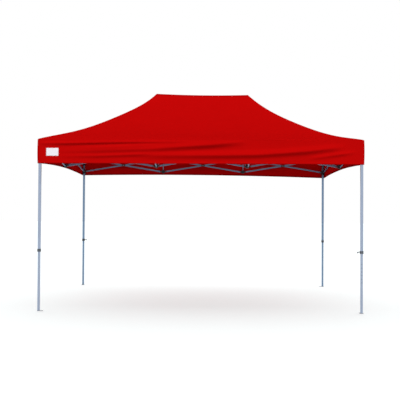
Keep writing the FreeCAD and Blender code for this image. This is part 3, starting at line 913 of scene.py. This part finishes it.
def gather(piece):
    """Hooks cloth to the columns, so that it comes in as the frame folds, lies on the upper brackets and
    hangs down in a pouch between every four columns."""
    weights = {}
    for vertex in piece.data.vertices:
        column, u = bay_of(vertex.co.x + LEG_X, 3)
        row, w = bay_of(vertex.co.y + LEG_Y, 2)
        fall = max(vertex.co.z - EAVE_Z - 8 * MM, 0.0) / FALL + PLEAT * 16 * u * (1 - u) * w * (1 - w)
        for r, row_share in ((row, 1 - w), (row + 1, w)):
            for c, column_share in ((column, 1 - u), (column + 1, u)):
                for bodies, share in ((UPPER_BODIES, 1 - fall), (LOWER_BODIES, fall)):
                    weights.setdefault(bodies[r][c], {})[vertex.index] = row_share * column_share * share
    for body, members in sorted(weights.items()):
        group = piece.vertex_groups.new(name=body)
        for index, share in members.items():
            if share > 1e-5:
                group.add([index], share, "REPLACE")
        follow = {"object": FRAME["bodies"][body], "vertex_group": body, "matrix_inverse": Matrix.Identity(4)}
        modify(piece, f"follow_{body}", "HOOK", **follow)
    return piece


def thicken(piece, thickness, inside=0):
    """Gives cloth its thickness on the inner side, after it has been gathered."""
    modify(piece, "cloth_thickness", "SOLIDIFY", thickness=thickness, offset=-1, material_offset=inside)


def merge_ridge(piece):
    """Joins the two halves of the top ring along the ridge."""
    work = bmesh.new()
    work.from_mesh(piece.data)
    top = [v for v in work.verts if v.co.z > RIDGE_Z - 20 * MM and abs(v.co.y) < 0.1 * MM]
    bmesh.ops.remove_doubles(work, verts=top, dist=0.1 * MM)
    work.to_mesh(piece.data)
    work.free()
    piece.data.update()


class CANOPY_OT_sew_cover(bpy.types.Operator):
    """Make the roof and valance as one sheet of cloth over the frame"""

    bl_idname = "canopy.sew_cover"
    bl_label = "Sew Cover"

    def execute(self, context):
        sizes = context.scene.canopy_cover
        face = woven_polyester("dyed_polyester", sizes.cloth_colour, sizes.thread_pitch, 0.92)
        # The inner side gets the brightened coating colour, which paints light on the underside
        inside = woven_polyester("coated_polyester", sizes.coating_and_painted_light_colour, sizes.thread_pitch, 0.7)
        places = ring_places()
        near_eave = [share * sizes.eave_round for share in (0.2, 0.45, 0.8, 1.3)]
        levels = [1 - k / ROOF_ROWS for k in range(ROOF_ROWS)]
        levels += [reach / PANEL_SLOPE for reach in reversed(near_eave)] + [0.0]
        drops = [reach / VALANCE_DEPTH for reach in near_eave]
        drops += [drops[-1] + (1 - drops[-1]) * (k + 1) / VALANCE_ROWS for k in range(VALANCE_ROWS)]
        points, cut = [], []
        # Each side is cut along its own grain, with the eave at 0
        for t in levels:
            points += [roof_point(side, a, t, sizes) for side, a in places]
            cut += [(a * half_length(side, t), PANEL_SLOPE * t) for side, a in places]
        for v in drops:
            points += [valance_point(side, a, v, sizes) for side, a in places]
            cut += [(a * half_length(side, 0), -VALANCE_DEPTH * v) for side, a in places]
        faces = [f[::-1] for f in grid_faces(len(levels) + len(drops), len(places), closed=True)]
        cover = make_piece("cover", points, faces, [face, inside], ROOT, cut=cut)
        merge_ridge(cover)
        area = sum(polygon.area for polygon in cover.data.polygons)
        thicken(gather(cover), sizes.cloth_thickness, inside=1)
        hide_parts("canopy_roof", "canopy_valance")
        cover["cloth_area"] = area
        return {"FINISHED"}


def band(name, sections, across, material, thickness, closed=False):
    """A band of cloth through sections of points. across holds each point's place over its width."""
    points, cut = [], []
    run = 0.0
    for k, section in enumerate(sections):
        if k:
            run += (section[0] - sections[k - 1][0]).length
        points += section
        cut += [(place, run) for place in across]
    faces = grid_faces(len(sections), len(across))
    if closed:
        last = len(points) - len(across)
        faces += [(last + k, last + k + 1, k + 1, k) for k in range(len(across) - 1)]
    piece = make_piece(name, points, faces, [material], ROOT, cut=cut)
    thicken(gather(piece), thickness)
    return piece


class CANOPY_OT_sew_seams(bpy.types.Operator):
    bl_idname = "canopy.sew_seams"
    bl_label = "Sew Seams and Hem"

    def execute(self, context):
        sizes = context.scene.canopy_cover
        half, proud = sizes.seam_width / 2, sizes.seam_height
        seam = sewn_seam("felled_seam", sizes.cloth_colour, sizes.thread_colour, (-half * 0.6, half * 0.6))
        hem = sewn_seam("turned_hem", sizes.cloth_colour, sizes.thread_colour, (sizes.hem_width - 4 * MM,))
        across = (-half, -0.8 * half, 0.0, 0.8 * half, half)
        profile = list(zip(across, (0.2 * proud, proud, proud, proud, 0.2 * proud)))

        def sew(name, places, point, closed=False):
            """Sews a seam with a section at each place; point takes a place and a point of the profile."""
            sections = [[point(*place, off, lift) for off, lift in profile] for place in places]
            band(name, sections, across, seam, 0.4 * MM, closed)

        def beside(before, after, point, step, off, lift):
            """A point of a corner seam, off the corner onto the side before or after it."""
            side, way = (before, 1) if off < 0 else (after, -1)
            reach = max(half_length(side, step if point is roof_point else 0), half)
            return point(side, way * (1 - abs(off) / reach), step, sizes, lift)

        def over_ridge(a, off, lift):
            side, way = ("front", 1) if off < 0 else ("back", -1)
            return roof_point(side, way * a, 1 - abs(off) / PANEL_SLOPE, sizes, lift)

        def over_eave(side, a, off, lift):
            if off < 0:
                return roof_point(side, a, -off / PANEL_SLOPE, sizes, 0.6 * lift)
            return valance_point(side, a, off / VALANCE_DEPTH, sizes, 0.6 * lift)

        shares = [step / SEAM_STEPS for step in range(SEAM_STEPS + 1)]
        for before, after in zip(SIDES, SIDES[1:] + SIDES[:1]):
            for name, point, last, slot in (
                ("hip_seam", roof_point, HIP_END, "canopy_roof"),
                ("corner_seam", valance_point, CORNER_END, "canopy_valance"),
            ):
                steps = [SEAM_START + (last - SEAM_START) * share for share in shares]
                places = [(before, after, point, step) for step in steps]
                sew(f"{name}_{before}_{after}", places, beside)
        sew("ridge_seam", [(2 * share - 1,) for share in shares], over_ridge)
        sew("eave_seam", ring_places(), over_eave, closed=True)
        self.turn_hem(sizes, hem)
        self.sew_label(sizes)
        rests_on = [body for row in UPPER_BODIES for body in row if not body.startswith("king")]
        rests_on += ["king_post_left", "king_post_right"]
        return {"FINISHED"}

    def turn_hem(self, sizes, material):
        """The lower edge, folded up on the inside and stitched through."""
        wall, wide = sizes.seam_height, sizes.hem_width
        back = sizes.cloth_thickness + wall
        profile = (
            (wide, 0.0), (wide - 1 * MM, wall), (-0.5 * MM, wall),
            (-0.5 * MM, -back), (wide - 1 * MM, -back), (wide, -sizes.cloth_thickness),
        )
        sections = []
        for side, a in ring_places():
            deep = hem_depth(side, a)
            sections.append([valance_point(side, a, 1 - up / deep, sizes, lift) for up, lift in profile])
        across = [up for up, lift in profile]
        return band("hem", sections, across, material, 0.3 * MM, closed=True)

    def sew_label(self, sizes):
        """A blank satin patch, stitched on near the left end of the front valance."""
        wide, high = sizes.label_width / 2, sizes.label_height / 2
        columns, rows = 24, 16
        xs = [wide * (2 * column / columns - 1) for column in range(columns + 1)]
        zs = [high * (2 * row / rows - 1) for row in range(rows + 1)]
        cut = [(x, z) for z in zs for x in xs]
        points = []
        for x, z in cut:
            a = (sizes.label_place + x) / HALF_X
            v = (EAVE_Z - sizes.label_level - z) / hem_depth("front", a)
            points.append(valance_point("front", a, v, sizes, 1.2 * MM))
        satin = satin_label(sizes.label_colour, sizes.thread_colour, wide, high)
        faces = grid_faces(rows + 1, columns + 1)
        label = make_piece("blank_label", points, faces, [satin], ROOT, cut=cut)
        thicken(gather(label), 0.5 * MM)
        return label


# ---- the stage ----

# Painted: the floor is tinted cyan so that the red light the cloth throws into the floor's shadow shows grey;
# outside the shadow it shows white
FLOOR_WHITE = (0.875, 0.955, 0.955, 1)
FLOOR_GREY = (0.38, 0.38, 0.38, 1)
FLOOR_SIDES = 96
WHITE = (1, 1, 1, 1)
# Each lamp's spread, its heading round from the front and its height, in degrees, and whether the floor is
# all that it lights or all that it leaves out, so that the shadow lies under the canopy
LAMPS = {
    "front": (22, 14, 36, "EXCLUDE"),
    "back": (50, 180, 20, "EXCLUDE"),
    "overhead": (124, 180, 46, "INCLUDE"),
}
CAMERA_PLACE = (0.156, -9.935, 1.408)
# The camera's turn to the left, its tilt upwards and its roll, in degrees
CAMERA_TURNS = (1.05, 0.877, 0.341)


def empty_tree(owner):
    """The node tree of a new material or world, cleared."""
    owner.use_nodes = True
    owner.node_tree.nodes.clear()
    return owner.node_tree


def by_ray(tree, to_object, when_seen):
    """One shader for the light on the object, and another for what the camera, a mirror or glass sees."""
    rays = add(tree, "LightPath")
    seen = rays.outputs["Is Camera Ray"]
    for ray in ("Is Glossy Ray", "Is Transmission Ray"):
        seen = add(tree, "Math", {0: seen, 1: rays.outputs[ray]}, operation="MAXIMUM").outputs[0]
    return add(tree, "MixShader", {0: seen, 1: to_object, 2: when_seen})


def aim(name, data, turn, lift, roll=0.0):
    """A lamp or camera that looks turn to the left of straight ahead and lift above the level."""
    thing = bpy.data.objects.new(name, data)
    ray = Vector((-math.sin(turn) * math.cos(lift), math.cos(turn) * math.cos(lift), math.sin(lift)))
    thing.rotation_mode = "QUATERNION"
    thing.rotation_quaternion = ray.to_track_quat("-Z", "Y") @ Quaternion(AXES["Z"], roll)
    bpy.context.scene.collection.objects.link(thing)
    return thing


class CANOPY_OT_set_stage(bpy.types.Operator):
    """Set the floor, the soft light and the camera"""

    bl_idname = "canopy.set_stage"
    bl_label = "Set Stage"

    def execute(self, context):
        scene = context.scene
        sizes = scene.canopy_stage
        scene.view_settings.view_transform = "Standard"
        floor = self.add_floor(sizes)
        self.add_dome(scene, sizes)
        for name, settings in LAMPS.items():
            self.add_sun(name, getattr(sizes, f"{name}_strength"), floor, *settings)
        self.add_camera(scene, sizes)
        return {"FINISHED"}

    def add_floor(self, sizes):
        """A white floor that keeps the shadow, and shows white to the camera and to metal."""
        material = bpy.data.materials.new("white_studio_floor")
        tree = empty_tree(material)
        matt = add(tree, "BsdfDiffuse", Color=FLOOR_WHITE)
        glow = add(tree, "Emission", Strength=sizes.floor_glow)
        lit = add(tree, "MixShader", {1: matt, 2: glow}, in_0=sizes.floor_share)
        # To the object the floor is a mid grey, so that it lifts the underside without flattening the folds
        grey = add(tree, "BsdfDiffuse", Color=FLOOR_GREY)
        add(tree, "OutputMaterial", {0: by_ray(tree, grey, lit)})
        turns = [math.tau * k / FLOOR_SIDES for k in range(FLOOR_SIDES)]
        ring = [Vector((math.cos(turn), math.sin(turn), 0)) * sizes.floor_radius for turn in turns]
        floor = make_piece("studio_floor", ring, [range(FLOOR_SIDES)], [material], None)
        return floor

    def add_dome(self, scene, sizes):
        """An even dome of light, which is plain white where it is seen."""
        scene.world = bpy.data.worlds.new("even_studio")
        tree = empty_tree(scene.world)
        dome = add(tree, "Background", Color=WHITE, Strength=sizes.dome_strength)
        white = add(tree, "Background", Color=WHITE, Strength=1.0)
        add(tree, "OutputWorld", {0: by_ray(tree, dome, white)})

    def add_sun(self, name, strength, floor, spread, turn, height, floor_state):
        """A wide, soft lamp."""
        lamp = bpy.data.lights.new(name, "SUN")
        lamp.energy = strength
        lamp.angle = math.radians(spread)
        sun = aim(name, lamp, math.radians(turn), -math.radians(height))
        # Tube mirrors the white room, not the lamps
        sun.visible_glossy = False
        receivers = bpy.data.collections.new(f"lit_by_{name}")
        receivers.objects.link(floor)
        sun.light_linking.receiver_collection = receivers
        receivers.collection_objects[0].light_linking.link_state = floor_state

    def add_camera(self, scene, sizes):
        data = bpy.data.cameras.new("camera")
        data.lens = sizes.lens
        data.sensor_width = 36
        data.clip_end = 500
        scene.camera = aim("camera", data, *(math.radians(angle) for angle in CAMERA_TURNS))
        scene.camera.location = CAMERA_PLACE


class CANOPY_PT_panel(bpy.types.Panel):
    """Lists the canopy's steps"""

    bl_idname = "CANOPY_PT_panel"
    bl_label = "Folding Canopy"
    bl_space_type = "VIEW_3D"
    bl_region_type = "UI"
    bl_category = "Canopy"

    def draw(self, context):
        for operator in OPERATORS:
            self.layout.operator(operator.bl_idname)


OPERATORS = (
    CANOPY_OT_finish_frame,
    CANOPY_OT_add_hardware,
    CANOPY_OT_add_leg_details,
    CANOPY_OT_sew_cover,
    CANOPY_OT_sew_seams,
    CANOPY_OT_set_stage,
)
GROUPS = {"canopy_frame": FrameSettings, "canopy_cover": CoverSettings, "canopy_stage": StageSettings}


def register():
    for name, group in GROUPS.items():
        bpy.utils.register_class(group)
        setattr(bpy.types.Scene, name, PointerProperty(type=group))
    for part in (*OPERATORS, CANOPY_PT_panel):
        bpy.utils.register_class(part)


def unregister():
    for part in (CANOPY_PT_panel, *reversed(OPERATORS)):
        bpy.utils.unregister_class(part)
    for name, group in GROUPS.items():
        delattr(bpy.types.Scene, name)
        bpy.utils.unregister_class(group)


def main():
    register()
    for operator in OPERATORS:
        family, step = operator.bl_idname.split(".")
        getattr(getattr(bpy.ops, family), step)()


if __name__ == "__main__":
    main()
